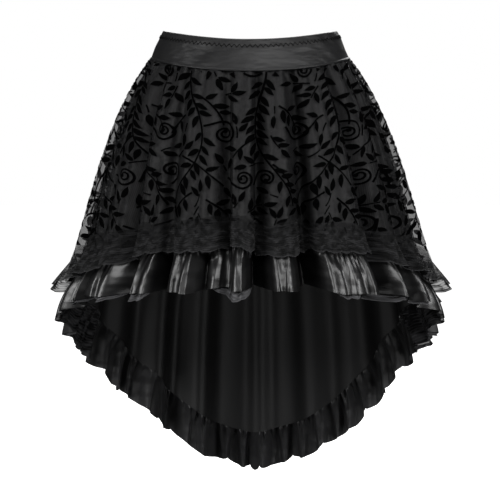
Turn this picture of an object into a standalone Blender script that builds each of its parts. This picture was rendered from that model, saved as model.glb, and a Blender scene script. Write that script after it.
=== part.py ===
"""High-low ruffled skirt, hollow and filled out as if worn.

The pieces are a contoured satin waistband, a satin lining, a flocked mesh layer over it with a lace trim on its hem, a
gathered satin ruffle on the lining's hem, and a lace under the ruffle's front and sides. The front is short and the
back long.

Metres, +Z up; the wearer faces -Y. The origin is the middle of the waist, half way down the band at the side seams.
Angles are in degrees round the body, 0 at the front centre and positive towards +X. A drop is how far a point lies
below the top of the band at the side seams.
"""

from collections import namedtuple

import bmesh
import bpy
import numpy as np

# Driving sizes
BAND_TOP = 0.022  # height of the band's top edge at the side seams
BAND_HEIGHT = 0.044  # at the side seams
BAND_TOP_DIP = 0.013  # how much lower the top edge is at the centre front and back
BAND_FOOT_DIP = 0.0165  # the same for the band's lower edge
BAND_THICKNESS = 0.002
CLOTH = 0.001  # thickness of every other piece
SEAM_GAP = 0.0009  # gap left between two pieces where one hangs from the other
WAIST_GAP = 0.0011  # the same under the band, whose slanting lower rim takes up most of it
SIDE_GAP = 0.0003  # gap left between two pieces at a side or back seam, at the waist
LAID_ON = 0.0005  # gap left between a piece and what is laid on it
LACE_WIDTH = 0.048
LACE_BELOW_SEAM = 0.005  # how far the lace's lower edge hangs past the lining's hem
LACE_BELOW_MESH = 0.010  # how far it hangs past the mesh layer's hem
UNDER_LACE_BELOW = 0.009  # how far the lace under the ruffle hangs past the ruffle
UNDER_LACE_INSIDE = 0.0034  # how far inside the ruffle's waves it hangs
UNDER_LACE_REACH = 115.0  # angle that it reaches to on both sides; the back has none
BACK_SEAM = 177.0  # angle of the centre back seam, which hangs a little off the middle
SIDE_SEAM = 90.0

# The lining's outline from the front and the side
Section = namedtuple("Section", "drop half_width front_depth back_depth")
SECTIONS = [
    Section(0.000, 0.1365, 0.097, 0.099),
    Section(0.044, 0.1560, 0.112, 0.116),
    Section(0.077, 0.1760, 0.130, 0.138),
    Section(0.139, 0.2040, 0.157, 0.172),
    Section(0.200, 0.2240, 0.180, 0.200),
    Section(0.254, 0.2385, 0.197, 0.220),
    Section(0.300, 0.2500, 0.209, 0.234),
    Section(0.340, 0.2600, 0.219, 0.245),
    Section(0.410, 0.2800, 0.234, 0.260),
    Section(0.460, 0.2900, 0.242, 0.270),
    Section(0.550, 0.3020, 0.250, 0.283),
    Section(0.700, 0.3120, 0.256, 0.296),
    Section(0.800, 0.3160, 0.258, 0.302),
]

# The high-low hem: the drop of the seam that joins lining and ruffle, and of the ruffle's lower edge
Hem = namedtuple("Hem", "angle seam ruffle")
HEMS = [
    Hem(0, 0.322, 0.382),
    Hem(30, 0.330, 0.390),
    Hem(60, 0.352, 0.408),
    Hem(75, 0.371, 0.430),
    Hem(90, 0.402, 0.464),
    Hem(105, 0.438, 0.500),
    Hem(120, 0.482, 0.547),
    Hem(135, 0.544, 0.613),
    Hem(150, 0.612, 0.680),
    Hem(165, 0.672, 0.739),
    Hem(180, 0.700, 0.768),
]
HEM_SWAY = 0.022  # how much lower the hem hangs at one place of the back than on the other side
HEM_SWAY_ANGLE = 149.0
HEM_SWAY_HALF_WIDTH = 19.0

# The grooves between the flutes: the angle and depth of each at the waist and at the hem, and its half width in degrees
Groove = namedtuple("Groove", "top_angle hem_angle top_depth hem_depth half_width")
GROOVES = [
    Groove(-164.0, -161.5, 0.0014, 0.034, 4.8),
    Groove(-147.0, -145.0, 0.0014, 0.033, 4.8),
    Groove(-130.0, -129.5, 0.0014, 0.027, 4.4),
    Groove(-113.0, -112.0, 0.0014, 0.030, 4.6),
    Groove(-97.0, -97.0, 0.0014, 0.022, 4.2),
    Groove(-76.0, -74.0, 0.0014, 0.026, 4.4),
    Groove(-52.0, -48.0, 0.0018, 0.034, 4.6),
    Groove(-33.0, -28.0, 0.0014, 0.022, 4.2),
    Groove(-13.0, -11.0, 0.0014, 0.029, 4.0),
    Groove(4.6, 3.0, 0.0018, 0.032, 3.9),
    Groove(21.5, 20.0, 0.0014, 0.046, 4.6),
    Groove(31.5, 29.5, 0.0030, 0.006, 3.4),
    Groove(46.0, 41.0, 0.0018, 0.037, 4.8),
    Groove(62.0, 58.0, 0.0014, 0.023, 4.2),
    Groove(77.0, 75.0, 0.0014, 0.027, 4.4),
    Groove(97.0, 97.0, 0.0014, 0.023, 4.2),
    Groove(113.0, 113.0, 0.0014, 0.029, 4.6),
    Groove(130.0, 129.0, 0.0014, 0.027, 4.4),
    Groove(146.0, 145.0, 0.0014, 0.026, 4.4),
    Groove(160.0, 158.0, 0.0014, 0.033, 4.6),
    Groove(177.0, 177.0, 0.0010, 0.015, 3.4),
]
GROOVE_GROWTH = 0.62  # how quickly a groove deepens down the skirt

# How far the mesh layer stands off the lining at its hem
MESH_OFF_WAIST = 0.0017
MESH_OFF_FRONT = 0.006
MESH_OFF_SIDE = 0.021
MESH_OFF_GROWTH = 0.65  # below 1, it stands off early on its way down

# Small gathers in the waist seam
GATHERS = 36
GATHER_DEPTH = 0.0012
GATHER_LENGTH = 0.090

# The ruffle's waves
WAVES = 54
WAVE_AT_SEAM = 0.0012
WAVE_AT_EDGE = 0.0095
RUFFLE_FLARE = 0.014  # how far the ruffle's lower edge stands out from the lining's line

# The lace trim's waves
LACE_WAVES = 48
LACE_WAVE = 0.0028
LACE_FLARE = 0.007  # how far its lower edge stands out from the mesh layer
LACE_SIDE_FLARE = 0.008  # how much further it stands out at the sides
LACE_FLARE_START = 0.3  # the share of its width that lies flat

# Grid columns all the way round, and rows of a panel above the lace
BAND_COLUMNS = 112
PANEL_COLUMNS = 144
RUFFLE_COLUMNS = 288
FRONT_ROWS = 5
BACK_ROWS = 8
LACE_TOP_LEVEL = 0.9  # the level on a panel that its last row starts from, at the lace's upper edge


def curve_value(places, values, at, level_ends=False):
    """Value at a place of the smooth curve through some points, by cubic pieces."""
    places, values = np.array(places, float), np.array(values, float)
    slopes = np.gradient(values, places)
    if level_ends:
        slopes[[0, -1]] = 0
    piece = np.clip(np.searchsorted(places, at) - 1, 0, len(places) - 2)
    step = places[piece + 1] - places[piece]
    t = np.clip((at - places[piece]) / step, 0, 1)
    rise = (3 - 2 * t) * t**2
    start = values[piece] + (values[piece + 1] - values[piece]) * rise
    return start + step * t * (1 - t) * (slopes[piece] * (1 - t) - slopes[piece + 1] * t)


def section_size(name, drop):
    """One of the lining's sizes at a drop, from the sections."""
    return curve_value([s.drop for s in SECTIONS], [getattr(s, name) for s in SECTIONS], drop)


def hem_drop(name, angle):
    """The drop of the seam or of the ruffle's edge at an angle."""
    sway = HEM_SWAY * np.exp(-((turn(angle - HEM_SWAY_ANGLE) / HEM_SWAY_HALF_WIDTH) ** 2))
    return sway + curve_value([h.angle for h in HEMS], [getattr(h, name) for h in HEMS], abs(turn(angle)), True)


def turn(angle):
    """The same angle from -180 to 180."""
    return (angle + 180) % 360 - 180


def band_dip(angle, dip):
    """How far an edge of the band dips below its height at the side seams."""
    return dip * np.cos(np.radians(angle)) ** 2


def waist_drop(angle):
    """The drop of the waist seam, where the layers are sewn to the band."""
    return BAND_HEIGHT + band_dip(angle, BAND_FOOT_DIP)


def groove_depth(angle, share):
    """How far the cloth is drawn in by its grooves; share is 0 at the waist seam and 1 at the hem."""
    share = np.clip(share, 0, 1.15)
    drawn = 0.0
    for groove in GROOVES:
        middle = groove.top_angle + (groove.hem_angle - groove.top_angle) * share
        depth = groove.top_depth + (groove.hem_depth - groove.top_depth) * share**GROOVE_GROWTH
        drawn += depth * np.exp(-((turn(angle - middle) / groove.half_width) ** 2))
    return drawn


def gather_height(angle, below_seam):
    """The small gathers that the waist seam holds, which die away down the skirt."""
    fade = np.clip(1 - below_seam / GATHER_LENGTH, 0, 1) ** 1.5
    wander = 1.4 * np.sin(np.radians(5 * angle + 40)) + 0.9 * np.sin(np.radians(11 * angle))
    return GATHER_DEPTH * fade * np.cos(np.radians(GATHERS * angle) + wander)


def skirt_point(angle, drop, outward):
    """A point at an angle and a drop, moved outward from the lining's form."""
    across, along = np.sin(np.radians(angle)), np.cos(np.radians(angle))
    half_width = section_size("half_width", drop)
    depth = section_size("front_depth" if along > 0 else "back_depth", drop)
    facing = np.array([depth * across, -half_width * along])
    facing /= np.linalg.norm(facing)
    below_seam = drop - waist_drop(angle)
    share = below_seam / (hem_drop("seam", angle) - waist_drop(angle))
    out = outward - groove_depth(angle, share) + gather_height(angle, below_seam)
    return half_width * across + facing[0] * out, -depth * along + facing[1] * out, BAND_TOP - drop


def between(start, end, share):
    return start + (end - start) * share


def band_point(angle, level):
    """A point of the waistband; level is 0 at its top edge and 1 at the waist seam, where it meets the lining's form."""
    across, along = np.sin(np.radians(angle)), np.cos(np.radians(angle))
    side = "front_depth" if along > 0 else "back_depth"
    seam = waist_drop(angle)
    half_width = between(SECTIONS[0].half_width, section_size("half_width", seam), level)
    depth = between(getattr(SECTIONS[0], side), section_size(side, seam), level)
    return half_width * across, -depth * along, BAND_TOP - between(band_dip(angle, BAND_TOP_DIP), seam, level)


def lace_edge_drop(angle):
    return hem_drop("seam", angle) + LACE_BELOW_SEAM


def panel_drop(angle, level, hem):
    """The drop at a level of the lining or of the mesh layer."""
    lace_top = lace_edge_drop(angle) - LACE_WIDTH
    if level <= LACE_TOP_LEVEL:
        return between(waist_drop(angle) + WAIST_GAP, lace_top, level / LACE_TOP_LEVEL)
    return between(lace_top, hem, (level - LACE_TOP_LEVEL) / (1 - LACE_TOP_LEVEL))


def lining_point(angle, level):
    return skirt_point(angle, panel_drop(angle, level, hem_drop("seam", angle)), -MESH_OFF_WAIST / 2)


def mesh_off(angle, share):
    """How far the mesh layer stands off the lining."""
    at_hem = between(MESH_OFF_FRONT, MESH_OFF_SIDE, abs(np.sin(np.radians(angle))) ** 4)
    return between(MESH_OFF_WAIST, at_hem, share**MESH_OFF_GROWTH)


def over_layer_point(angle, drop, outward):
    """A point on the mesh layer's form, moved outward from it."""
    top = waist_drop(angle)
    share = max(0, drop - top) / (lace_edge_drop(angle) - top)
    return skirt_point(angle, drop, mesh_off(angle, share) - MESH_OFF_WAIST / 2 + outward)


def mesh_point(angle, level):
    return over_layer_point(angle, panel_drop(angle, level, lace_edge_drop(angle) - LACE_BELOW_MESH), 0)


def moved_out(place, angle, level, distance):
    """A point of a piece moved out square to its surface."""
    here = np.array(place(angle, level))
    round_body = np.array(place(angle + 0.05, level)) - here
    down = np.array(place(angle, level + 0.01)) - here
    facing = np.cross(down, round_body)
    return here + facing / np.linalg.norm(facing) * distance


LACE_LEVELS = [0, 1 - LACE_BELOW_MESH / LACE_WIDTH, 1]  # the middle one is the mesh layer's hem


def flared_lace_point(angle, level):
    """The lace's form before it is laid on the mesh layer: it stands out below the mesh layer's hem."""
    edge = lace_edge_drop(angle)
    wave = LACE_WAVE * np.cos(np.radians(LACE_WAVES * angle) + 1.1 * np.sin(np.radians(7 * angle)))
    stand = LACE_FLARE + wave + LACE_SIDE_FLARE * abs(np.sin(np.radians(angle))) ** 6
    flare = stand * max(0, level - LACE_FLARE_START) / (1 - LACE_FLARE_START)
    return over_layer_point(angle, between(edge - LACE_WIDTH, edge, level), flare)


def lace_point(angle, level):
    return moved_out(flared_lace_point, angle, level, CLOTH + LAID_ON)


def wave_phase(angle):
    """Phase of the ruffle's waves, in radians, a little uneven like hand gathers."""
    wander = 1.3 * np.sin(np.radians(7 * angle + 25)) + 0.8 * np.sin(np.radians(17 * angle))
    return np.radians(WAVES * angle) + wander


def wave_height(level):
    return between(WAVE_AT_SEAM, WAVE_AT_EDGE, level**0.8)


def ruffle_point(angle, level):
    drop = between(hem_drop("seam", angle) + SEAM_GAP, hem_drop("ruffle", angle), level)
    outward = RUFFLE_FLARE * level + wave_height(level) * np.cos(wave_phase(angle))
    return skirt_point(angle, drop, outward)


def under_lace_point(angle, level):
    """The lace hangs straighter than the ruffle, just inside its waves."""
    edge = hem_drop("ruffle", angle) + UNDER_LACE_BELOW
    drop = between(hem_drop("seam", angle) + SEAM_GAP, edge, level)
    outward = 0.5 * RUFFLE_FLARE * level - wave_height(level) - UNDER_LACE_INSIDE
    return skirt_point(angle, drop, outward)


def cloth_material(name, shade, roughness):
    """A plain material for one kind of cloth."""
    material = bpy.data.materials.new(name)
    material.use_nodes = True
    surface = material.node_tree.nodes["Principled BSDF"]
    surface.inputs["Base Color"].default_value = (shade, shade, shade * 1.04, 1)
    surface.inputs["Roughness"].default_value = roughness
    surface.inputs["Metallic"].default_value = 0
    return material


def cloth_piece(name, place, first, last, columns_round, levels, thickness, material, collection):
    """One cut piece: a grid laid round the body from one angle to another, made a wall by Solidify."""
    columns = round((last - first) / 360 * columns_round)
    rows = len(levels) - 1
    grid = bmesh.new()
    bmesh.ops.create_grid(grid, x_segments=columns, y_segments=rows, size=0.5)
    for vertex in grid.verts:
        level = levels[round((0.5 - vertex.co.y) * rows)]
        vertex.co = place(between(first, last, vertex.co.x + 0.5), level)
    mesh = bpy.data.meshes.new(name)
    grid.to_mesh(mesh)
    grid.free()
    mesh.shade_smooth()
    mesh.materials.append(material)
    piece = bpy.data.objects.new(name, mesh)
    collection.objects.link(piece)
    wall = piece.modifiers.new("Wall", "SOLIDIFY")
    wall.thickness = thickness
    wall.offset = 0
    return piece


def even_levels(rows):
    return [row / rows for row in range(rows + 1)]


def panel_levels(rows_above_lace):
    return [LACE_TOP_LEVEL * level for level in even_levels(rows_above_lace)] + [1.0]


def build():
    for old in list(bpy.data.objects):
        bpy.data.objects.remove(old, do_unlink=True)
    skirt = bpy.data.collections.new("High-low skirt")
    bpy.context.scene.collection.children.link(skirt)

    satin = cloth_material("Satin", 0.045, 0.35)
    lining_satin = cloth_material("Lining satin", 0.03, 0.5)
    flocked_mesh = cloth_material("Flocked mesh", 0.02, 0.8)
    lace = cloth_material("Lace", 0.025, 0.9)

    # Half of the seam gap as an angle, at the narrowest place that a side or back seam reaches
    half_gap = np.degrees(SIDE_GAP / 2 / SECTIONS[0].front_depth)
    front = (-SIDE_SEAM + half_gap, SIDE_SEAM - half_gap)
    back = (SIDE_SEAM + half_gap, 360 - SIDE_SEAM - half_gap)
    back_right = (SIDE_SEAM + half_gap, BACK_SEAM - half_gap)
    back_left = (BACK_SEAM + half_gap, 360 - SIDE_SEAM - half_gap)

    def add(name, place, span, columns_round, levels, thickness, material):
        cloth_piece(name, place, *span, columns_round, levels, thickness, material, skirt)

    front_levels, back_levels = panel_levels(FRONT_ROWS), panel_levels(BACK_ROWS)
    for side, span, levels in (("front", front, front_levels), ("back", back, back_levels)):
        add(f"waistband_{side}", band_point, span, BAND_COLUMNS, even_levels(2), BAND_THICKNESS, satin)
        add(f"mesh_layer_{side}", mesh_point, span, PANEL_COLUMNS, levels, CLOTH, flocked_mesh)
        add(f"lace_trim_{side}", lace_point, span, PANEL_COLUMNS, LACE_LEVELS, CLOTH, lace)
    for side, span, levels in (
        ("front", front, front_levels),
        ("back_left", back_left, back_levels),
        ("back_right", back_right, back_levels),
    ):
        add(f"lining_{side}", lining_point, span, PANEL_COLUMNS, levels, CLOTH, lining_satin)
        add(f"ruffle_{side}", ruffle_point, span, RUFFLE_COLUMNS, even_levels(2), CLOTH, satin)
    under_span = (-UNDER_LACE_REACH, UNDER_LACE_REACH)
    add("under_lace", under_lace_point, under_span, PANEL_COLUMNS, even_levels(1), CLOTH, lace)


build()
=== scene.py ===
import math
from collections import namedtuple

import bmesh
import bpy
import numpy as np
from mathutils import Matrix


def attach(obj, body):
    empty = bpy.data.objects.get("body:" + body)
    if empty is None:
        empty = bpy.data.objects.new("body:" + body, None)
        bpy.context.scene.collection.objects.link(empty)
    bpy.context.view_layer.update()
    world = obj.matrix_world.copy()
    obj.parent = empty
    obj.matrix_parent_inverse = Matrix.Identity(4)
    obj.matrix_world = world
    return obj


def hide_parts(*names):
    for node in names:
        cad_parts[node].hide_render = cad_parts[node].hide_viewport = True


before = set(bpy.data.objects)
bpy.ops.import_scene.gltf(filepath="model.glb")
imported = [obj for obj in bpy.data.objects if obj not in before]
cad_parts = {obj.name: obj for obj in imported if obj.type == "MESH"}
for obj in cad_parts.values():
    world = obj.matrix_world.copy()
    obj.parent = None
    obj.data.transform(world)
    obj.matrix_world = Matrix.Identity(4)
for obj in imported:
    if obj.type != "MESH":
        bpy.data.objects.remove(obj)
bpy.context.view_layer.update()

# The picture's view: a long lens level with the top of the waistband, tilted down so that the whole skirt stands in
# the middle of a square frame. The wearer faces -Y.
BAND_TOP = 0.022
VIEW_DISTANCE = 3.181
AIM_BELOW_BAND = 0.348
camera_data = bpy.data.cameras.new("Camera")
camera_data.sensor_width = 36
camera_data.lens = 144
camera = bpy.data.objects.new("Camera", camera_data)
camera.location = (0, -VIEW_DISTANCE, BAND_TOP)
camera.rotation_euler = (math.pi / 2 - math.atan2(AIM_BELOW_BAND, VIEW_DISTANCE), 0, 0)
bpy.context.scene.collection.objects.link(camera)
bpy.context.scene.camera = camera
bpy.context.scene.view_settings.view_transform = "Standard"


# The studio: a plain pale floor a leg's length below the waist and a plain white cove round it, which only the camera
# sees, lit evenly. Large soft lamps stand in front on both sides, above and behind, and two weak ones low in front
# light the ruffles from below.
FLOOR = -1.02
COVE_RADIUS = 9.0


class Wire:
    """A value in a material: arithmetic on it adds Math nodes."""

    def __init__(self, material, socket):
        self.material = material
        self.socket = socket

    def math(self, operation, *values):
        return self.material.node("ShaderNodeMath", {"operation": operation}, dict(enumerate(values)))

    def __add__(self, other):
        return self.math("ADD", self, other)

    def __radd__(self, other):
        return self.math("ADD", other, self)

    def __sub__(self, other):
        return self.math("SUBTRACT", self, other)

    def __rsub__(self, other):
        return self.math("SUBTRACT", other, self)

    def __mul__(self, other):
        return self.math("MULTIPLY", self, other)

    def __rmul__(self, other):
        return self.math("MULTIPLY", other, self)

    def sine(self):
        return self.math("SINE", self)

    def size(self):
        return self.math("ABSOLUTE", self)

    def larger(self, other):
        return self.math("MAXIMUM", self, other)

    def rise(self, low, high):
        """0 below low and 1 above high, with a smooth way between."""
        settings = {"interpolation_type": "SMOOTHSTEP"}
        return self.material.node("ShaderNodeMapRange", settings, {0: self, 1: low, 2: high, 3: 0.0, 4: 1.0})


class Material:
    """A material with one surface shader. Every other node comes from node()."""

    def __init__(self, name, **surface):
        self.made = bpy.data.materials.new(name)
        self.made.use_nodes = True
        self.nodes = self.made.node_tree.nodes
        self.shader = self.nodes["Principled BSDF"]
        self.surface(**surface)

    def node(self, kind, settings, inputs, output=0):
        """A node of a kind, with its settings made first, then its sockets' values or links."""
        node = self.nodes.new(kind)
        for name, value in settings.items():
            setattr(node, name, value)
        for socket, value in inputs.items():
            self.feed(node.inputs[socket], value)
        return Wire(self, node.outputs[output])

    def feed(self, socket, value):
        if isinstance(value, Wire):
            self.made.node_tree.links.new(value.socket, socket)
        else:
            socket.default_value = value

    def surface(self, **values):
        """Sets sockets of the surface shader, named in lower case with _ for a space."""
        for name, value in values.items():
            words = [word.upper() if word == "ior" else word.capitalize() for word in name.split("_")]
            self.feed(self.shader.inputs[" ".join(words)], value)

    def cloth_place(self):
        """Metres round the skirt and metres down it, from the piece's UV map."""
        return self.node("ShaderNodeTexCoord", {}, {}, "UV")

    def parts(self, vector):
        separate = self.nodes.new("ShaderNodeSeparateXYZ")
        self.feed(separate.inputs[0], vector)
        return Wire(self, separate.outputs[0]), Wire(self, separate.outputs[1])

    def stretched(self, vector, across, down):
        """A vector scaled to so many repeats a metre each way."""
        return self.node("ShaderNodeVectorMath", {"operation": "MULTIPLY"}, {0: vector, 1: (across, down, 1)})

    def noise(self, vector, scale=1.0, detail=2.0):
        return self.node("ShaderNodeTexNoise", {}, {"Vector": vector, "Scale": scale, "Detail": detail})

    def blend(self, factor, first, second):
        """A colour between two colours."""
        return self.node("ShaderNodeMix", {"data_type": "RGBA"}, {0: factor, 6: first, 7: second}, 2)

    def bump(self, height, distance):
        return self.node("ShaderNodeBump", {}, {"Height": height, "Distance": distance, "Strength": 1.0})


def grey(shade):
    """A nearly neutral colour, a touch cool like dyed black cloth."""
    return (shade, shade, shade * 1.05, 1)


def stage_piece(name, mesh, material):
    piece = bpy.data.objects.new(name, mesh)
    piece.data.materials.append(material.made)
    bpy.context.scene.collection.objects.link(piece)
    piece.visible_diffuse = False
    piece.visible_glossy = False
    piece.visible_shadow = False


floor_mesh = bpy.data.meshes.new("Floor")
disc = bmesh.new()
bmesh.ops.create_circle(disc, cap_ends=True, radius=COVE_RADIUS, segments=96)
bmesh.ops.translate(disc, verts=disc.verts, vec=(0, 0, FLOOR))
disc.to_mesh(floor_mesh)
disc.free()
floor_finish = Material("Pale floor", roughness=0.9, specular_ior_level=0.1, emission_strength=1.0)
floor_speckle = floor_finish.noise(floor_finish.node("ShaderNodeTexCoord", {}, {}, "Object"), 9.0, 4.0)
floor_finish.surface(
    base_color=floor_finish.blend(floor_speckle, (0.8, 0.8, 0.8, 1), (0.84, 0.84, 0.84, 1)),
    emission_color=(1, 1, 1, 1),
)
stage_piece("Floor", floor_mesh, floor_finish)

cove_mesh = bpy.data.meshes.new("Cove")
ball = bmesh.new()
bmesh.ops.create_uvsphere(ball, u_segments=48, v_segments=24, radius=COVE_RADIUS)
ball.to_mesh(cove_mesh)
ball.free()
cove_finish = Material("White cove", base_color=(0, 0, 0, 1), roughness=1.0, specular_ior_level=0.0)
cove_finish.surface(emission_color=(1, 1, 1, 1), emission_strength=1.0)
stage_piece("Cove", cove_mesh, cove_finish)

world = bpy.data.worlds.new("Studio")
world.use_nodes = True
world.node_tree.nodes["Background"].inputs["Color"].default_value = (1, 1, 1, 1)
world.node_tree.nodes["Background"].inputs["Strength"].default_value = 0.04
bpy.context.scene.world = world

AIM_BELOW_WAIST = 0.35
Lamp = namedtuple("Lamp", "name place size watts")
LAMPS = [
    Lamp("Key lamp", (0.6, -2.4, 1.9), 1.6, 64),
    Lamp("Left lamp", (-2.5, -1.9, 1.0), 1.4, 80),
    Lamp("Right lamp", (2.6, -1.8, 1.0), 1.4, 72),
    Lamp("Low left lamp", (-1.7, -1.7, -1.0), 1.0, 6.5),
    Lamp("Low right lamp", (1.7, -1.7, -1.0), 1.0, 7.5),
    Lamp("Top lamp", (0.0, 0.6, 2.2), 1.6, 20),
    Lamp("Back lamp", (0.4, 2.7, 1.5), 2.0, 85),
]
for lamp in LAMPS:
    light = bpy.data.lights.new(lamp.name, "AREA")
    light.size = lamp.size
    light.energy = lamp.watts
    holder = bpy.data.objects.new(lamp.name, light)
    holder.location = lamp.place
    aim = holder.location.copy()
    aim.z += AIM_BELOW_WAIST
    holder.rotation_euler = aim.to_track_quat("Z", "Y").to_euler()
    holder.visible_camera = False
    bpy.context.scene.collection.objects.link(holder)


# The waistband: plain charcoal satin folded over a wide elastic, cut in a curve so that both edges dip at the front
# and back, closed at the side seams. A row of zigzag stitching holds the elastic just below the top edge.
BAND_HEIGHT = 0.044
BAND_TOP_DIP = 0.013
BAND_FOOT_DIP = 0.0165
BAND_WALL = 0.0018
SIDE_SEAM = 90.0
BACK_SEAM = 177.0
UV_RADIUS = 0.25

# Outline of the lining at drops below the band's top edge, seen from the front and the side
Section = namedtuple("Section", "drop half_width front_depth back_depth")
SECTIONS = [
    Section(0.000, 0.1365, 0.097, 0.099),
    Section(0.044, 0.1560, 0.112, 0.116),
    Section(0.077, 0.1760, 0.130, 0.138),
    Section(0.139, 0.2040, 0.157, 0.172),
    Section(0.200, 0.2240, 0.180, 0.200),
    Section(0.254, 0.2385, 0.197, 0.220),
    Section(0.300, 0.2500, 0.209, 0.234),
    Section(0.340, 0.2600, 0.219, 0.245),
    Section(0.410, 0.2800, 0.234, 0.260),
    Section(0.460, 0.2900, 0.242, 0.270),
    Section(0.550, 0.3020, 0.250, 0.283),
    Section(0.700, 0.3120, 0.256, 0.296),
    Section(0.800, 0.3160, 0.258, 0.302),
]


def smooth_curve(places, values, at, level_ends=False):
    """Values at some places of the smooth curve through some points."""
    places, values = np.array(places, float), np.array(values, float)
    slopes = np.gradient(values, places)
    if level_ends:
        slopes[[0, -1]] = 0
    piece = np.clip(np.searchsorted(places, at) - 1, 0, len(places) - 2)
    step = places[piece + 1] - places[piece]
    t = np.clip((at - places[piece]) / step, 0, 1)
    start = values[piece] + (values[piece + 1] - values[piece]) * (3 - 2 * t) * t**2
    return start + step * t * (1 - t) * (slopes[piece] * (1 - t) - slopes[piece + 1] * t)


def section_size(name, drop):
    return smooth_curve([s.drop for s in SECTIONS], [getattr(s, name) for s in SECTIONS], drop)


def depth_at(angle, drop):
    """Depth of the lining at a drop, of its front half or its back half."""
    front = np.cos(np.radians(angle)) > 0
    return np.where(front, section_size("front_depth", drop), section_size("back_depth", drop))


def between(start, end, share):
    return start + (end - start) * share


def waves(angle, *turns):
    """A wandering value from -1 to 1 that closes on itself round the skirt."""
    total = sum(np.sin(np.radians(turn * angle) + 2.4 * k) for k, turn in enumerate(turns))
    return total / len(turns)


def waist_drop(angle):
    """Drop of the seam between the band and the skirt."""
    return BAND_HEIGHT + BAND_FOOT_DIP * np.cos(np.radians(angle)) ** 2


def band_place(angle, level, outward=0.0):
    """A point of the band; level is 0 at its top edge and 1 at the waist seam."""
    across, along = np.sin(np.radians(angle)), np.cos(np.radians(angle))
    seam = waist_drop(angle)
    half_width = between(SECTIONS[0].half_width, section_size("half_width", seam), level)
    depth = between(depth_at(angle, np.zeros_like(seam)), depth_at(angle, seam), level)
    fullness = 0.0009 * np.sin(np.pi * np.clip(level, 0, 1)) ** 0.5
    creases = 0.0011 * np.sin(7 * level + 2.5 * waves(angle, 3, 7, 11)) * waves(angle, 5, 8, 13)
    rolled_edge = 0.0018 * np.exp(-(((level - 0.975) / 0.028) ** 2))
    out = outward + fullness + creases + rolled_edge
    drop = between(BAND_TOP_DIP * along**2, seam, level)
    return np.stack([(half_width + out) * across, -(depth + out) * along, BAND_TOP - drop], -1)


def cloth(name, place, span, columns, rows, material, node=None, wall=0.0, tall=None):
    """A piece of cloth: a fine grid laid round the body, with a UV map in metres round and up.

    The map's height is a point's own height, or for a narrow strip how far it lies below the strip's top edge.
    """
    grid = bmesh.new()
    bmesh.ops.create_grid(grid, x_segments=columns, y_segments=rows, size=0.5)
    mesh = bpy.data.meshes.new(name)
    grid.to_mesh(mesh)
    grid.free()
    flat = np.empty(len(mesh.vertices) * 3)
    mesh.vertices.foreach_get("co", flat)
    flat = flat.reshape(-1, 3)
    angle = between(span[0], span[1], flat[:, 0] + 0.5)
    level = 0.5 - flat[:, 1]
    points = place(angle, level)
    mesh.vertices.foreach_set("co", points.ravel())
    corners = np.empty(len(mesh.loops), dtype=int)
    mesh.loops.foreach_get("vertex_index", corners)
    uv = np.stack([np.radians(angle) * UV_RADIUS, -level * tall if tall else points[:, 2]], -1)
    mesh.uv_layers.new(name="Metres").data.foreach_set("uv", uv[corners].ravel())
    mesh.shade_smooth()
    mesh.materials.append(material.made)
    piece = bpy.data.objects.new(name, mesh)
    bpy.context.scene.collection.objects.link(piece)
    if wall:
        shell = piece.modifiers.new("Wall", "SOLIDIFY")
        shell.thickness = wall
        shell.offset = 0
    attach(piece, "root")
    if node:
        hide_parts(node)
    return piece


def satin(name, shade, gloss, roughness, streak, crease_across, crease_down, crease_depth, crease_detail=2.0):
    """Satin: a smooth face with fine streaks along the threads, faint slubs and soft creases."""
    material = Material(name, specular_ior_level=gloss)
    place = material.cloth_place()
    soft = material.noise(material.stretched(place, 14, 9), 1.0, 3.0)
    threads = material.noise(material.stretched(place, 1500, 90), 1.0, 2.0)
    slubs = material.noise(material.stretched(place, 90, 700), 1.0, 1.0)
    creases = material.noise(material.stretched(place, crease_across, crease_down), 1.0, crease_detail)
    material.surface(
        base_color=material.blend(soft * (1 - streak) + threads * streak, grey(shade * 0.7), grey(shade * 1.3)),
        roughness=roughness + 0.08 * soft + 0.04 * slubs - 0.05,
        normal=material.bump(creases + threads * 0.02 + slubs * 0.02, crease_depth),
    )
    return material


band_satin = satin("Band satin", 0.007, 0.26, 0.44, 0.15, 12, 60, 0.0026)
FRONT = (-SIDE_SEAM, SIDE_SEAM)
BACK = (SIDE_SEAM, 360 - SIDE_SEAM)
for side, span in (("front", FRONT), ("back", BACK)):
    band = cloth(f"waistband_satin_{side}", band_place, span, 220, 60, band_satin,
                 f"waistband_{side}", BAND_WALL)

STITCH_PITCH = 0.0066
STITCH_HEIGHT = 0.0042
STITCH_BELOW_EDGE = 0.0085
THREAD = 0.0016
WAIST_RADIUS = 0.118
thread_finish = Material("Black thread", specular_ior_level=0.1, roughness=0.8)
thread_twist = thread_finish.node("ShaderNodeTexCoord", {}, {}, "Object")
thread_finish.surface(
    base_color=thread_finish.blend(thread_finish.noise(thread_twist, 900.0), grey(0.001), grey(0.003)),
)


def thread_line(name, points):
    """A closed run of sewing thread."""
    curve = bpy.data.curves.new(name, "CURVE")
    curve.dimensions = "3D"
    curve.bevel_depth = THREAD / 2
    curve.bevel_resolution = 1
    spline = curve.splines.new("POLY")
    spline.points.add(len(points) - 1)
    spline.points.foreach_set("co", np.column_stack([points, np.ones(len(points))]).ravel())
    spline.use_cyclic_u = True
    curve.materials.append(thread_finish.made)
    piece = bpy.data.objects.new(name, curve)
    bpy.context.scene.collection.objects.link(piece)
    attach(piece, "root")


turns = round(2 * math.pi * WAIST_RADIUS / STITCH_PITCH)
zigzag_angle = np.arange(2 * turns) * 180.0 / turns
zigzag_below = STITCH_BELOW_EDGE + STITCH_HEIGHT * (np.arange(2 * turns) % 2 - 0.5)
zigzag = band_place(zigzag_angle, zigzag_below / BAND_HEIGHT, BAND_WALL / 2 + THREAD / 4)
thread_line("waist_zigzag", zigzag)


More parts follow.
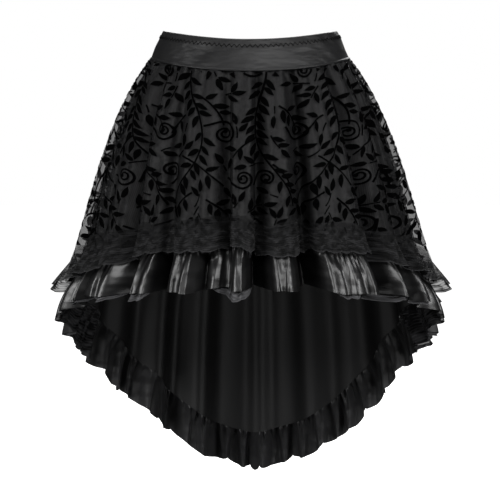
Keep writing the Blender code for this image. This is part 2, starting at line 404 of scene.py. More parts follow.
# The lining: dull black satin in a front and two back panels, gathered into the waist seam. Its folds run from the
# band to the hem, deepening on the way, and the other layers hang over them. It ends in the ruffle's seam.
MESH_OFF_WAIST = 0.0017
LACE_WIDTH = 0.048
LACE_BELOW_SEAM = 0.005
LACE_BELOW_MESH = 0.010
SEAM_TUCK = 0.0008
GATHERS = 36
FINE_GATHERS = 71
GATHER_DEPTH = 0.0015
FINE_GATHER_DEPTH = 0.0013

Hem = namedtuple("Hem", "angle seam ruffle")
HEMS = [
    Hem(0, 0.322, 0.382),
    Hem(30, 0.330, 0.390),
    Hem(60, 0.352, 0.408),
    Hem(75, 0.371, 0.430),
    Hem(90, 0.402, 0.464),
    Hem(105, 0.438, 0.500),
    Hem(120, 0.482, 0.547),
    Hem(135, 0.544, 0.613),
    Hem(150, 0.612, 0.680),
    Hem(165, 0.672, 0.739),
    Hem(180, 0.700, 0.768),
]
HEM_SWAY = 0.022
HEM_SWAY_ANGLE = 149.0
HEM_SWAY_HALF_WIDTH = 19.0

# The deep grooves between the flutes: angles and depths at the waist and at the hem, and how far the bottom lies
# behind the flute on its right, or on its left if negative
Groove = namedtuple("Groove", "top_angle hem_angle top_depth hem_depth half_width sweep")
GROOVES = [
    Groove(-164.0, -161.5, 0.0014, 0.042, 5.8, 0.000),
    Groove(-147.0, -145.0, 0.0014, 0.040, 5.6, 0.000),
    Groove(-130.0, -129.5, 0.0014, 0.018, 6.0, 0.000),
    Groove(-113.0, -112.0, 0.0014, 0.020, 5.5, 0.000),
    Groove(-97.0, -97.0, 0.0014, 0.022, 3.4, 0.003),
    Groove(-76.0, -74.0, 0.0014, 0.028, 3.2, 0.005),
    Groove(-52.0, -46.0, 0.0018, 0.038, 3.4, 0.008),
    Groove(-33.0, -29.0, 0.0014, 0.026, 3.0, -0.006),
    Groove(-12.0, -10.0, 0.0016, 0.038, 2.9, 0.009),
    Groove(4.6, 4.6, 0.0020, 0.042, 2.8, -0.009),
    Groove(21.5, 19.0, 0.0020, 0.052, 3.8, 0.009),
    Groove(31.5, 29.5, 0.0030, 0.006, 3.0, 0.002),
    Groove(46.0, 48.0, 0.0018, 0.040, 3.4, -0.009),
    Groove(63.0, 62.0, 0.0014, 0.025, 3.2, 0.006),
    Groove(77.0, 75.0, 0.0014, 0.027, 3.6, -0.005),
    Groove(97.0, 97.0, 0.0014, 0.023, 3.6, 0.003),
    Groove(113.0, 113.0, 0.0014, 0.020, 5.5, 0.000),
    Groove(130.0, 129.0, 0.0014, 0.018, 6.0, 0.000),
    Groove(146.0, 145.0, 0.0014, 0.018, 6.0, 0.000),
    Groove(160.0, 158.0, 0.0014, 0.026, 6.5, 0.000),
    Groove(177.0, 177.0, 0.0010, 0.016, 3.4, 0.000),
]
GROOVE_GROWTH = 0.48
GROOVE_POINT = 2.4

# Lesser creases, listed one by one: where each starts and ends as shares of the way down, its depth, or height if
# negative
Crease = namedtuple("Crease", "angle lean start end depth half_width")
CREASES = [
    Crease(-84, 2, 0.05, 0.90, 0.004, 2.0),
    Crease(-66, -3, 0.00, 0.55, 0.004, 2.2),
    Crease(-61, 2, 0.35, 1.20, 0.006, 2.0),
    Crease(-42, -1, 0.00, 0.45, 0.005, 1.8),
    Crease(-39, 2, 0.40, 1.20, 0.007, 2.3),
    Crease(-24, 2, 0.00, 0.50, 0.004, 1.6),
    Crease(-20, 1, 0.45, 1.20, 0.005, 2.0),
    Crease(-6, 1, 0.00, 0.38, 0.004, 1.6),
    Crease(-4, -1, 0.45, 1.20, 0.005, 1.8),
    Crease(12, -2, 0.00, 0.40, 0.005, 1.7),
    Crease(9, 1, 0.50, 1.20, 0.004, 1.6),
    Crease(26, -1, 0.25, 1.20, 0.006, 2.0),
    Crease(38, -2, 0.00, 0.60, 0.005, 1.8),
    Crease(34, 0, 0.55, 1.20, 0.004, 1.8),
    Crease(55, -4, 0.05, 0.70, 0.005, 2.0),
    Crease(49, 0, 0.50, 1.20, 0.007, 2.2),
    Crease(69, -2, 0.15, 1.20, 0.005, 2.0),
    Crease(86, -1, 0.10, 0.80, 0.004, 1.8),
    Crease(105, 1, 0.00, 0.50, 0.0014, 3.0),
    Crease(104, 0, 0.45, 1.20, 0.0019, 3.3),
    Crease(121, 0, 0.15, 1.20, 0.0016, 3.0),
    Crease(138, -1, 0.00, 0.60, 0.0011, 2.7),
    Crease(136, 1, 0.50, 1.20, 0.0019, 3.0),
    Crease(152, 0, 0.20, 1.20, 0.0019, 2.8),
    Crease(168, 0, 0.00, 0.70, 0.0014, 2.7),
    Crease(167, 1, 0.60, 1.20, 0.0016, 2.5),
    Crease(-172, 1, 0.10, 1.20, 0.0016, 3.0),
    Crease(-155, 1, 0.00, 0.55, 0.0011, 2.7),
    Crease(-153, 0, 0.50, 1.20, 0.0019, 2.8),
    Crease(-137, 0, 0.15, 1.20, 0.0016, 3.0),
    Crease(-121, 1, 0.00, 0.80, 0.0014, 2.8),
    Crease(-119, -1, 0.60, 1.20, 0.0014, 2.7),
    Crease(-105, 1, 0.10, 1.20, 0.0016, 3.0),
]


def turn(angle):
    """The same angle from -180 to 180."""
    return (angle + 180) % 360 - 180


def hem_drop(name, angle):
    sway = HEM_SWAY * np.exp(-((turn(angle - HEM_SWAY_ANGLE) / HEM_SWAY_HALF_WIDTH) ** 2))
    return sway + smooth_curve([h.angle for h in HEMS], [getattr(h, name) for h in HEMS], abs(turn(angle)), True)


def rise(value, low, high):
    t = np.clip((value - low) / (high - low), 0, 1)
    return t * t * (3 - 2 * t)


def drawn_in(angle, share):
    """How far the grooves and creases draw the cloth in, and how far a groove's bottom lies to the side.

    Share is 0 at the waist seam and 1 at the hem.
    """
    reach = np.clip(share, 0, 1.15)
    depth, aside = np.zeros_like(reach), np.zeros_like(reach)
    for groove in GROOVES:
        middle = between(groove.top_angle, groove.hem_angle, reach)
        grown = reach**GROOVE_GROWTH
        form = np.exp(-abs(turn(angle - middle) / groove.half_width) ** GROOVE_POINT)
        depth += between(groove.top_depth, groove.hem_depth, grown) * form
        aside += groove.sweep * grown * form
    for crease in CREASES:
        way = (reach - crease.start) / (crease.end - crease.start)
        middle = crease.angle + crease.lean * way
        most = crease.depth * rise(way, 0, 0.3) * (1 - rise(way, 0.7, 1.0)) * np.minimum(1, 0.35 + 1.2 * reach)
        most = most * (1 - rise(reach, 0.98, 1.06))
        depth += most * np.exp(-((turn(angle - middle) / crease.half_width) ** 2))
    return depth, aside


def gathered(angle, below_seam):
    """The small uneven gathers that the waist seam holds."""
    fade = np.clip(1 - below_seam / (0.085 + 0.03 * waves(angle, 9, 14)), 0, 1) ** 1.4
    wander = 1.4 * np.sin(np.radians(5 * angle + 40)) + 0.9 * np.sin(np.radians(11 * angle))
    wide = GATHER_DEPTH * np.cos(np.radians(GATHERS * angle) + wander)
    fine = FINE_GATHER_DEPTH * np.cos(np.radians(FINE_GATHERS * angle) - 1.3 * wander) * (1 + waves(angle, 7, 12, 19))
    return fade * (wide + fine)


def skirt_place(angle, drop, outward):
    """A point at an angle and a drop, moved outward from the lining's form."""
    across, along = np.sin(np.radians(angle)), np.cos(np.radians(angle))
    half_width, depth = section_size("half_width", drop), depth_at(angle, drop)
    face_x, face_y = depth * across, -half_width * along
    length = np.hypot(face_x, face_y)
    below_seam = drop - waist_drop(angle)
    share = below_seam / (hem_drop("seam", angle) - waist_drop(angle))
    inward, aside = drawn_in(angle, share)
    out = (outward - inward + gathered(angle, below_seam)) / length
    aside = aside / length
    x = half_width * across + face_x * out - face_y * aside
    y = -depth * along + face_y * out + face_x * aside
    return np.stack([x, y, BAND_TOP - drop], -1)


LEFT_SIDE_SLIMMER = 0.009


def lining_place(angle, level):
    drop = between(waist_drop(angle) - SEAM_TUCK, hem_drop("seam", angle), level)
    left = np.clip(-np.sin(np.radians(angle)), 0, 1)
    slimmer = LEFT_SIDE_SLIMMER * left**8 * np.sin(np.pi * np.clip(level, 0, 1))
    return skirt_place(angle, drop, -MESH_OFF_WAIST / 2 - slimmer)


lining_satin = satin("Lining satin", 0.007, 0.45, 0.52, 0.25, 40, 6, 0.0008)
BACK_RIGHT = (SIDE_SEAM, BACK_SEAM)
BACK_LEFT = (BACK_SEAM, 360 - SIDE_SEAM)
front_lining = cloth("lining_satin_front", lining_place, FRONT, 260, 70, lining_satin, "lining_front")
for side, span in (("left", BACK_LEFT), ("right", BACK_RIGHT)):
    back_lining = cloth(f"lining_satin_back_{side}", lining_place, span, 140, 120, lining_satin,
                        f"lining_back_{side}")


# The mesh layer: a sheer black net, gathered into the same waist seam, that stands off the lining at the sides. Leafy
# vines are flocked on it, raised and velvety, so they are a thin form of their own on the net's outer face.
MESH_OFF_FRONT = 0.006
MESH_OFF_SIDE = 0.021
MESH_OFF_GROWTH = 0.65
RIGHT_SIDE_FULLER = 0.004


def lace_edge_drop(angle):
    return hem_drop("seam", angle) + LACE_BELOW_SEAM


def mesh_off(angle, share):
    side = np.sin(np.radians(angle))
    at_hem = between(MESH_OFF_FRONT, MESH_OFF_SIDE, side**4) + RIGHT_SIDE_FULLER * np.clip(side, 0, 1) ** 8
    return between(MESH_OFF_WAIST, at_hem, share**MESH_OFF_GROWTH)


def over_place(angle, drop, outward=0.0):
    """A point on the mesh layer's form, or moved outward from it."""
    top = waist_drop(angle)
    share = np.clip(drop - top, 0, None) / (lace_edge_drop(angle) - top)
    return skirt_place(angle, drop, mesh_off(angle, share) - MESH_OFF_WAIST / 2 + outward)


def laid_on(place, angle, drop, distance):
    """Points laid on a form, moved out square to it."""
    here = place(angle, drop)
    round_body = place(angle + 0.05, drop) - here
    down = place(angle, drop + 0.0005) - here
    facing = np.cross(down, round_body)
    return here + facing / np.linalg.norm(facing, axis=-1, keepdims=True) * distance


def mesh_place(angle, level):
    drop = between(waist_drop(angle) - SEAM_TUCK, lace_edge_drop(angle) - LACE_BELOW_MESH, level)
    return over_place(angle, drop)


NET_CELL = 0.0013
net_finish = Material("Black net", roughness=0.5, specular_ior_level=0.12)
net_place = net_finish.cloth_place()
net_across, net_down = net_finish.parts(net_place)
net_rows = (net_down * (math.pi / NET_CELL)).sine().size()
net_columns = (net_across * (math.pi / NET_CELL)).sine().size()
net_thread = 1 - (net_rows * net_columns).rise(0.25, 0.75)
net_mottle = net_finish.noise(net_finish.stretched(net_place, 420, 170), 1.0, 3.0)
net_finish.surface(
    base_color=net_finish.blend(net_mottle.rise(0.3, 0.7), grey(0.003), grey(0.017)),
    alpha=0.44 + 0.24 * net_thread,
    normal=net_finish.bump(net_thread, 0.0003),
)
front_net = cloth("net_front", mesh_place, FRONT, 320, 90, net_finish, "mesh_layer_front")
back_net = cloth("net_back", mesh_place, BACK, 320, 150, net_finish, "mesh_layer_back")

# The vines' repeat, in millimetres across and down; headings in degrees from straight down, positive to the right
REPEAT = np.array([204, 250])
Branch = namedtuple("Branch", "x y heading length bend sway")
BRANCHES = [
    Branch(20, 0, 12, 244, 0, -26),
    Branch(120, 12, -14, 240, 6, 30),
    Branch(39, 71, 62, 56, -40, 0),
    Branch(110, 86, -66, 42, 50, 0),
    Branch(127, 54, 70, 64, -64, 0),
    Branch(102, 149, 66, 76, -30, 0),
    Branch(32, 161, 58, 54, -44, 0),
    Branch(12, 120, -70, 49, 40, 0),
    Branch(117, 205, -60, 42, 30, 0),
    Branch(137, 215, 56, 58, -30, 0),
]
Curl = namedtuple("Curl", "x y heading lead radius turns hand")
CURLS = [
    Curl(49, 103, 40, 17, 18, 1.7, 1),
    Curl(137, 103, 100, 20, 21, 1.7, -1),
    Curl(42, 10, 100, 27, 17, 1.6, -1),
    Curl(183, 12, 60, 17, 20, 1.65, 1),
    Curl(73, 195, 130, 15, 16, 1.55, 1),
    Curl(166, 183, 60, 20, 17, 1.6, 1),
    Curl(5, 195, 150, 17, 14, 1.5, -1),
]
LEAF_LENGTH = 20.0
LEAF_BREADTH = 7.4
LEAF_SPACING = 13.5
LEAF_CLEAR = 1.3
STEM = 2.9
FLOCK_HEIGHT = 0.0008
FILL_TRIES = 7000
REPEAT_SHRINK = 0.96
EDGE_CLEAR = 0.001


def walk(x, y, heading, bends):
    """Points of a path from a start and a heading, with the turn in degrees made at each millimetre."""
    way = np.radians(heading + np.cumsum(bends))
    return np.column_stack([x + np.cumsum(np.sin(way)), y + np.cumsum(np.cos(way))]), np.degrees(way)


def strip(path, half_breadths, lines=2):
    """A shape along a path, as lines of points from one edge to the other."""
    along = np.gradient(path, axis=0)
    along /= np.linalg.norm(along, axis=1, keepdims=True)
    beside = np.column_stack([along[:, 1], -along[:, 0]]) * np.asarray(half_breadths)[:, None]
    return path[:, None] + beside[:, None] * np.linspace(-1, 1, lines)[:, None]


def leaf(x, y, heading, size=1.0):
    """A pointed leaf on a short stalk, bent a little to one side."""
    share = np.linspace(0, 1, 9)
    way = np.radians(heading + 18 * (share - 0.5))
    step = size * LEAF_LENGTH / 8
    path = np.column_stack([x + np.cumsum(np.sin(way)) * step, y + np.cumsum(np.cos(way)) * step])
    return strip(path, size * LEAF_BREADTH / 2 * np.sin(np.pi * share**0.8) ** 0.9 + 0.3 * (1 - share), 3)


class Repeat:
    """One repeat of the vines: shapes that keep clear of each other, across its edges too."""

    def __init__(self):
        self.shapes = []
        self.gap = np.full(REPEAT, 99.0)
        self.chance = np.random.default_rng(11)

    def room(self, points, distance):
        across, down = (np.asarray(points).reshape(-1, 2) % REPEAT).astype(int).T
        return (self.gap[across, down] > distance).all()

    def add(self, shape):
        self.shapes.append(shape)
        for x, y in shape.reshape(-1, 2):
            across = (np.arange(REPEAT[0]) + 0.5 - x + REPEAT[0] / 2) % REPEAT[0] - REPEAT[0] / 2
            down = (np.arange(REPEAT[1]) + 0.5 - y + REPEAT[1] / 2) % REPEAT[1] - REPEAT[1] / 2
            self.gap = np.minimum(self.gap, np.hypot(across[:, None], down[None]))

    def add_stem(self, path, start, end):
        self.add(strip(path, np.linspace(start, end, len(path)) / 2))

    def add_leaf(self, x, y, heading, size):
        shape = leaf(x, y, heading, size)
        if self.room(shape[3:], LEAF_CLEAR):
            self.add(shape)

    def add_branch(self, branch):
        steps = np.arange(branch.length) / branch.length
        bends = (branch.bend + branch.sway * 2 * np.pi * np.cos(2 * np.pi * steps)) / branch.length
        path, way = walk(branch.x, branch.y, branch.heading, bends)
        self.add_stem(path[::3], STEM, STEM * 0.7)
        for k, at in enumerate(np.arange(7, branch.length - 3, LEAF_SPACING / 2).astype(int)):
            side = 1 if k % 2 else -1
            size = 1.0 + 0.1 * math.sin(2.1 * k + branch.x)
            self.add_leaf(*path[at], way[at] + side * (48 + 8 * math.sin(1.7 * k)), size)
        self.add_leaf(*path[-1], way[-1], 1.0)

    def add_curl(self, curl):
        radii = between(curl.radius, 4.0, np.linspace(0, 1, 60) ** 0.85)
        length = int(2 * np.pi * curl.turns * radii.mean())
        radius = np.interp(np.linspace(0, 1, length), np.linspace(0, 1, 60), radii)
        bends = np.concatenate([np.full(curl.lead, -0.5), np.degrees(1 / radius)]) * curl.hand
        path, way = walk(curl.x, curl.y, curl.heading, bends)
        self.add_stem(path[::2], STEM * 1.1, STEM * 0.9)
        eye = np.linspace(0, np.pi, 6)
        dot = np.stack([np.sin(eye), np.cos(eye)], -1) * STEM
        self.add(path[-1] - np.stack([dot, dot * [-1, 1]], 1))

    def add_sprig(self):
        """A short stalk with leaves on both sides, wherever there is room for it."""
        x, y = self.chance.random(2) * REPEAT
        heading = self.chance.random() * 360
        length = int(self.chance.integers(11, 29))
        path, way = walk(x, y, heading, np.full(length, self.chance.uniform(-2, 2)))
        tip = leaf(*path[-1], way[-1])
        if not (self.room(path, 3.4) and self.room(tip, 1.7)):
            return
        self.add_stem(path[::2], STEM * 0.8, STEM * 0.6)
        self.add(tip)
        for at in range(2, length - 1, 7):
            for side in (-1, 1):
                self.add_leaf(*path[at], way[at] + side * 50, 0.95)


def vine_repeat():
    repeat = Repeat()
    for curl in CURLS:
        repeat.add_curl(curl)
    for branch in BRANCHES:
        repeat.add_branch(branch)
    for _ in range(FILL_TRIES):
        repeat.add_sprig()
    return repeat.shapes


VINES = vine_repeat()

# The front's angles and drops at which the grooves' sweep is looked up
TABLE_REACH = 100
COLUMNS_A_DEGREE = 10
TABLE_ANGLES = np.linspace(-TABLE_REACH, TABLE_REACH, 2 * TABLE_REACH * COLUMNS_A_DEGREE + 1)
TABLE_DROPS = np.linspace(0.04, 0.50, 400)


def unswept_table():
    """The angle of the cloth that the grooves' sweep brings to an angle, so that the vines keep their form."""
    table = []
    for drop in TABLE_DROPS:
        drops = np.full_like(TABLE_ANGLES, drop)
        share = (drop - waist_drop(TABLE_ANGLES)) / (hem_drop("seam", TABLE_ANGLES) - waist_drop(TABLE_ANGLES))
        along, across = np.cos(np.radians(TABLE_ANGLES)), np.sin(np.radians(TABLE_ANGLES))
        size = np.hypot(section_size("half_width", drops) * along, depth_at(TABLE_ANGLES, drops) * across)
        seen = TABLE_ANGLES + np.degrees(drawn_in(TABLE_ANGLES, share)[1] / size)
        table.append(np.interp(TABLE_ANGLES, seen, TABLE_ANGLES))
    return np.array(table)


UNSWEPT = unswept_table()


def unswept(angle, drop):
    row = np.clip(np.searchsorted(TABLE_DROPS, drop), 0, len(TABLE_DROPS) - 1)
    column = np.clip((angle - TABLE_ANGLES[0]) * COLUMNS_A_DEGREE, 0, len(TABLE_ANGLES) - 2)
    left = column.astype(int)
    found = between(UNSWEPT[row, left], UNSWEPT[row, left + 1], column - left)
    return np.where(abs(angle) < TABLE_REACH - 1, found, angle)


def flocking(name, middle_angle):
    """The repeats laid over one side's net, cut off at its seams and edges, as one thin mesh."""
    corners, faces = [], []
    for column in range(-5, 5):
        for row in range(-1, 4):
            for shape in VINES:
                across = shape[..., 0] + column * REPEAT[0]
                down = shape[..., 1] + row * REPEAT[1]
                drop = BAND_HEIGHT + down / 1000 * REPEAT_SHRINK
                radius = (section_size("half_width", drop) + section_size("front_depth", drop)) / 2
                own_angle = np.degrees(across / 1000 / (radius * between(1.0, 1.12, np.clip(drop * 3, 0, 1))))
                angle = own_angle + middle_angle
                low = waist_drop(angle) + EDGE_CLEAR
                high = lace_edge_drop(angle) - LACE_BELOW_MESH - EDGE_CLEAR
                inside = (abs(own_angle) < SIDE_SEAM - 0.3) & (drop > low) & (drop < high)
                whole = inside.all(axis=1)
                if not whole.any():
                    continue
                drop = np.clip(drop, low, high)
                points = laid_on(over_place, unswept(angle, drop), drop, FLOCK_HEIGHT)
                first = sum(len(c) for c in corners)
                corners.append(points.reshape(-1, 3))
                rows, lines = shape.shape[:2]
                for k in range(rows - 1):
                    if whole[k] and whole[k + 1]:
                        for at in range(first + lines * k, first + lines * k + lines - 1):
                            faces.append((at, at + 1, at + 1 + lines, at + lines))
    mesh = bpy.data.meshes.new(name)
    mesh.from_pydata(np.concatenate(corners).tolist(), [], faces)
    tidy = bmesh.new()
    tidy.from_mesh(mesh)
    bmesh.ops.delete(tidy, geom=[v for v in tidy.verts if not v.link_faces], context="VERTS")
    tidy.to_mesh(mesh)
    tidy.free()
    mesh.shade_smooth()
    mesh.materials.append(flock_finish.made)
    piece = bpy.data.objects.new(name, mesh)
    bpy.context.scene.collection.objects.link(piece)
    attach(piece, "root")


flock_finish = Material("Flocking", roughness=1.0, specular_ior_level=0.0)
pile = flock_finish.noise(flock_finish.node("ShaderNodeTexCoord", {}, {}, "Object"), 1400.0, 2.0)
flock_finish.surface(
    base_color=flock_finish.blend(pile, grey(0.0004), grey(0.0016)),
    normal=flock_finish.bump(pile, 0.0004),
)
flocking("flocked_vines_front", 0.0)
flocking("flocked_vines_back", 180.0)


# The lace trim: a strip of sheer scalloped lace with fine threads and small blossoms, sewn flat on the net's hem and
# standing out below it in soft waves.
LACE_WAVES = 48
LACE_WAVE = 0.0028
LACE_FLARE = 0.007
LACE_SIDE_FLARE = 0.008
LACE_FLARE_START = 0.3
LACE_ROW = 0.0031
LACE_LIFT = 0.0014
SCALLOPS_ROUND = 74
SCALLOP = 0.0032
LACE_RIPPLE = 0.0016
LACE_RIPPLES = 131

# How much lower the lace's edges hang at some angles of the front, where one flute stands before the next
Hang = namedtuple("Hang", "angle top bottom")
HANGS = [
    Hang(-90, 0.002, 0.003),
    Hang(-76, 0.004, 0.008),
    Hang(-58, 0.000, 0.011),
    Hang(-49, 0.004, 0.004),
    Hang(-40, -0.003, -0.002),
    Hang(-33, 0.003, -0.006),
    Hang(-30, 0.000, -0.003),
    Hang(-14, -0.004, -0.003),
    Hang(-9, -0.001, -0.003),
    Hang(-6.2, -0.005, -0.010),
    Hang(-1, -0.004, -0.004),
    Hang(2.6, 0.004, 0.000),
    Hang(3.8, 0.008, 0.008),
    Hang(8, 0.012, 0.006),
    Hang(13, 0.001, 0.005),
    Hang(19, 0.002, 0.003),
    Hang(21, 0.007, -0.004),
    Hang(28, 0.002, -0.004),
    Hang(36, -0.002, -0.006),
    Hang(45, 0.003, -0.009),
    Hang(49, 0.006, 0.001),
    Hang(58, 0.000, 0.006),
    Hang(80, 0.003, 0.006),
    Hang(90, 0.002, 0.003),
]


def lace_place(angle, level):
    places = [h.angle for h in HANGS]
    swing = abs(np.cos(np.radians(SCALLOPS_ROUND * angle / 2) + 0.8 * waves(angle, 4, 9)))
    edge = lace_edge_drop(angle)
    top = edge - LACE_WIDTH - 0.5 * SCALLOP * swing + np.interp(angle, places, [h.top for h in HANGS])
    bottom = edge + SCALLOP * (swing - 0.5) + np.interp(angle, places, [h.bottom for h in HANGS])
    drop = between(top, bottom, level)
    wave = LACE_WAVE * np.cos(np.radians(LACE_WAVES * angle) + 1.1 * np.sin(np.radians(7 * angle)))
    ripple = LACE_RIPPLE * np.cos(np.radians(LACE_RIPPLES * angle) + 2 * waves(angle, 8, 13)) * rise(level, 0.3, 1.0)
    stand = LACE_FLARE + wave + LACE_SIDE_FLARE * abs(np.sin(np.radians(angle))) ** 6
    flare = stand * np.clip(level - LACE_FLARE_START, 0, 1) / (1 - LACE_FLARE_START) + ripple
    return laid_on(lambda a, d: over_place(a, d, flare), angle, drop, LACE_LIFT)


def lace_material(name, ground, shade, rim):
    """Lace: blossoms and wavering rows of thread on a sheer ground, closer along the edge and sheerest at the top.
    Shade is the threads' colour, and the lower edge is blended halfway to the lighter rim colour, a painted highlight
    along the edge.
    """
    material = Material(name, roughness=0.8, specular_ior_level=0.10, sheen_weight=0.02, sheen_roughness=0.5)
    place = material.cloth_place()
    across, up = material.parts(place)
    waver = material.noise(material.stretched(place, 55, 75), 1.0, 3.0)
    rows = ((up * (2 * math.pi / LACE_ROW)) + waver * 11.0).sine() * 0.5 + 0.5
    fine = material.noise(material.stretched(place, 130, 520), 1.0, 2.0)
    patches = material.noise(material.stretched(place, 95, 150), 1.0, 3.0)
    edge = 1 - up.rise(-LACE_WIDTH - 0.001, -LACE_WIDTH + 0.003)
    solid = patches.rise(0.38, 0.66)
    thread = (rows.rise(0.2, 1.0) * 0.28 + solid * 0.72).larger(edge) * (0.3 + 1.2 * fine)
    sheer_top = up.rise(-0.030, -0.004)
    # Base colour: threads between near-black and shade, and along the lower edge halfway to rim, a painted highlight
    # on the black lace's edge.
    material.surface(
        base_color=material.blend(edge * 0.5, material.blend(thread, grey(0.002), grey(shade)), grey(rim)),
        alpha=(ground - 0.36 * sheer_top) + 0.50 * thread,
        normal=material.bump(thread + waver * 0.6, 0.0010),
    )
    return material


# The rim colour here is the painted highlight along the lace's lower edge.
lace_finish = lace_material("Black lace", 0.66, 0.017, 0.045)
for side, span, flat in (("front", FRONT, (1.20, 0.05)), ("back", BACK, (1.20, 0.05))):
    trim = cloth(f"lace_{side}", lace_place, span, 900, 14, lace_finish, f"lace_trim_{side}",
                 tall=LACE_WIDTH)


# The ruffle: glossy black satin, gathered tightly into the lining's hem so that it springs out in rounded flutes with
# narrow creases between them. Its narrow turned hem is not modelled.
WAVE_AT_SEAM = 0.0010
WAVE_AT_EDGE = 0.0042
BACK_FULLER = 0.9
RUFFLE_FLARE = 0.014
FACE_FLATNESS = 2.3
FACE_LEAN = 0.35
LESSER_FOLD = 0.0003
PUCKERS = 170
PUCKER_DEPTH = 0.0056
PUCKER_FADE_FRONT = 6
PUCKER_FADE_BACK = 4

# Where the front's flutes stand; the others are spread evenly
FRONT_FLUTES = [
    -90, -84, -78, -71, -64, -57, -50, -41.6, -33, -25.5, -20, -10.3, -3.6, 7.4, 12.6, 20.5, 28, 35, 41, 47.4, 53,
    60, 67, 73, 79, 84.5, 90,
]
SPREAD = 6.4


def ruffle_phase(angle):
    """A whole turn from one flute's middle to the next one's."""
    turned = turn(angle)
    front = np.interp(turned, FRONT_FLUTES, np.arange(len(FRONT_FLUTES)))
    beyond = np.clip(abs(turned) - 90, 0, None) / SPREAD
    wander = 0.22 * np.sin(np.radians(7 * angle + 25)) + 0.12 * np.sin(np.radians(17 * angle))
    return 2 * np.pi * (front + np.sign(turned) * (beyond + wander * np.clip(beyond, 0, 1)))


# The gaps where the ruffle goes deep into the lining's folds, and its flutes part
Gap = namedtuple("Gap", "angle depth half_width")
GAPS = [
    Gap(-62, 0.030, 2.6),
    Gap(-41, 0.026, 2.4),
    Gap(-29.5, 0.042, 4.0),
    Gap(-15.5, 0.040, 4.0),
    Gap(2.6, 0.048, 5.2),
    Gap(20.5, 0.048, 5.2),
    Gap(46.5, 0.048, 5.2),
    Gap(57, 0.034, 3.2),
]


def ruffle_out(angle, level):
    """How far the ruffle stands out: flutes with broad faces, widening downward from the gathers at the seam."""
    phase = ruffle_phase(angle)
    breadth = between(-0.35, 0.50, level)
    at_back = rise(abs(turn(angle)), 95, 120)
    fade = between(PUCKER_FADE_FRONT, PUCKER_FADE_BACK, at_back)
    flute = np.tanh(FACE_FLATNESS * (np.cos(phase) + breadth)) + FACE_LEAN * np.sin(phase) * waves(angle, 7, 12, 19)
    uneven = 1 + 0.25 * waves(angle, 8, 17, 23)
    lesser = np.cos(2 * phase + 1.5 * waves(angle, 5, 9)) * (0.6 + 0.4 * waves(angle, 6, 11, 17))
    pucker = np.cos(np.radians(PUCKERS * angle) + 3 * waves(angle, 11, 19, 23)) * (1 + 0.6 * waves(angle, 13, 29))
    size = between(WAVE_AT_SEAM, WAVE_AT_EDGE, level**0.6) * uneven * (1 + BACK_FULLER * at_back)
    sprung = 1 - (1 - np.clip(level, 0, 1)) ** 2.2
    parted = sum(g.depth * np.clip(1 - abs(turn(angle - g.angle)) / g.half_width, 0, 1) for g in GAPS)
    gathers = LESSER_FOLD * lesser * np.exp(-(((level - 0.3) / 0.3) ** 2))
    gathers = gathers + PUCKER_DEPTH * np.clip(1 - level, 0, 1) ** fade * pucker
    folds = (size * flute + gathers) * rise(level, 0.03, 0.11)
    return (RUFFLE_FLARE + 0.004) * sprung + folds - parted * rise(level, 0, 0.35)


# Where the back hem's scallops meet, and how far they hang down between
SCALLOP_ENDS = [-180, -173, -154.5, -148.2, -136, -127, -116, 114, 124.4, 134.9, 140, 147, 155, 166.9, 177, 180]
SCALLOP_DROP = 0.009


def scalloped(angle):
    """The back hem's scallops, of uneven length."""
    turned = turn(angle)
    place = np.interp(turned, SCALLOP_ENDS, np.arange(len(SCALLOP_ENDS)))
    at_back = rise(abs(turned), 112, 120)
    return at_back * SCALLOP_DROP * (np.sin(np.pi * (place % 1)) ** 0.5 - 0.6)


def ruffle_place(angle, level):
    uneven = 0.003 * waves(angle, 13, 22, 31) * level + scalloped(angle) * level
    drop = between(hem_drop("seam", angle) - 0.004, hem_drop("ruffle", angle), level) + uneven
    return skirt_place(angle, drop, ruffle_out(angle, level))


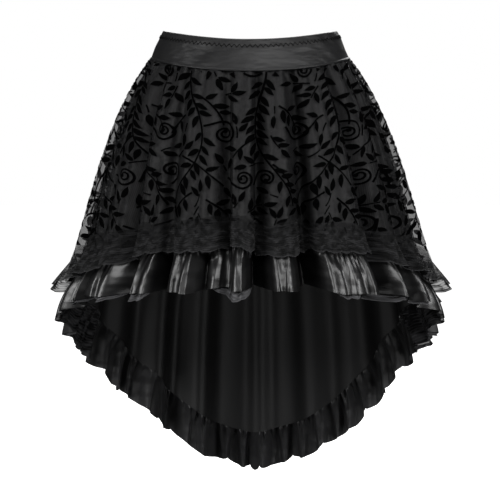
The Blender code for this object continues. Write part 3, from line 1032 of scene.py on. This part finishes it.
ruffle_satin = satin("Ruffle satin", 0.003, 0.54, 0.35, 0.2, 38, 44, 0.0044, 1.0)
# The back ruffles show the satin's dull wrong side, with lower gloss and higher roughness. Their base colour, far
# lighter than the front's, is painted light that brightens the dim inside of the back.
back_ruffle_dull_and_painted_lighter = satin("Back ruffle satin", 0.020, 0.45, 0.44, 0.2, 55, 40, 0.0040, 1.0)
RUFFLES = [("front", FRONT, 1000, 1.50), ("back_left", BACK_LEFT, 700, 0.80), ("back_right", BACK_RIGHT, 680, 0.78)]
for side, span, columns, length in RUFFLES:
    finish = ruffle_satin if side == "front" else back_ruffle_dull_and_painted_lighter
    ruffle = cloth(f"ruffle_satin_{side}", ruffle_place, span, columns, 24, finish, f"ruffle_{side}")


# The lace under the ruffle: the same lace, hung inside the ruffle's front and sides from the same seam, but with
# lighter threads, painted light that lifts it out of the ruffle's shadow. It is uneven, and here and there a scallop
# peeps out below the ruffle.
UNDER_LACE_REACH = 115.0
UNDER_LACE_SHORTER = 0.006
UNDER_LACE_INSIDE = 0.0035
UNDER_SCALLOP = 0.0025
SPREAD_BELOW_RUFFLE = 0.6
Peep = namedtuple("Peep", "angle below half_width")
PEEPS = [
    Peep(-110, 0.014, 5.0),
    Peep(-98, 0.010, 3.0),
    Peep(-66, 0.010, 4.0),
    Peep(-51, 0.014, 4.0),
    Peep(-37, 0.015, 4.5),
    Peep(-5.5, 0.019, 6.5),
    Peep(31, 0.013, 4.0),
    Peep(49, 0.016, 6.0),
    Peep(64, 0.012, 4.0),
    Peep(99, 0.012, 4.0),
    Peep(110, 0.014, 5.0),
]


def under_lace_place(angle, level):
    swing = abs(np.cos(np.radians(46 * angle) + 1.2 * waves(angle, 3, 8)))
    peep = sum(p.below * np.exp(-(((angle - p.angle) / p.half_width) ** 4)) for p in PEEPS)
    edge = hem_drop("ruffle", angle) - UNDER_LACE_SHORTER + peep + UNDER_SCALLOP * swing
    drop = between(hem_drop("seam", angle) - 0.001, edge, level)
    below_ruffle = np.clip(drop - hem_drop("ruffle", angle) - 0.003, 0, None)
    inside = UNDER_LACE_INSIDE * rise(level, 0, 0.2)
    outward = ruffle_out(angle, np.clip(level, 0, 1)) - inside + SPREAD_BELOW_RUFFLE * below_ruffle
    return skirt_place(angle, drop, outward)


# Threads about five times lighter than the trim's: painted light against the shade the ruffle casts on this lace. Its
# rim is the same painted highlight as the trim's.
under_lace_painted_lighter = lace_material("Black lace under the ruffle", 0.90, 0.085, 0.050)
UNDER_SPAN = (-UNDER_LACE_REACH, UNDER_LACE_REACH)
under = cloth("under_lace_scallops", under_lace_place, UNDER_SPAN, 1100, 16, under_lace_painted_lighter,
              "under_lace", tall=LACE_WIDTH)
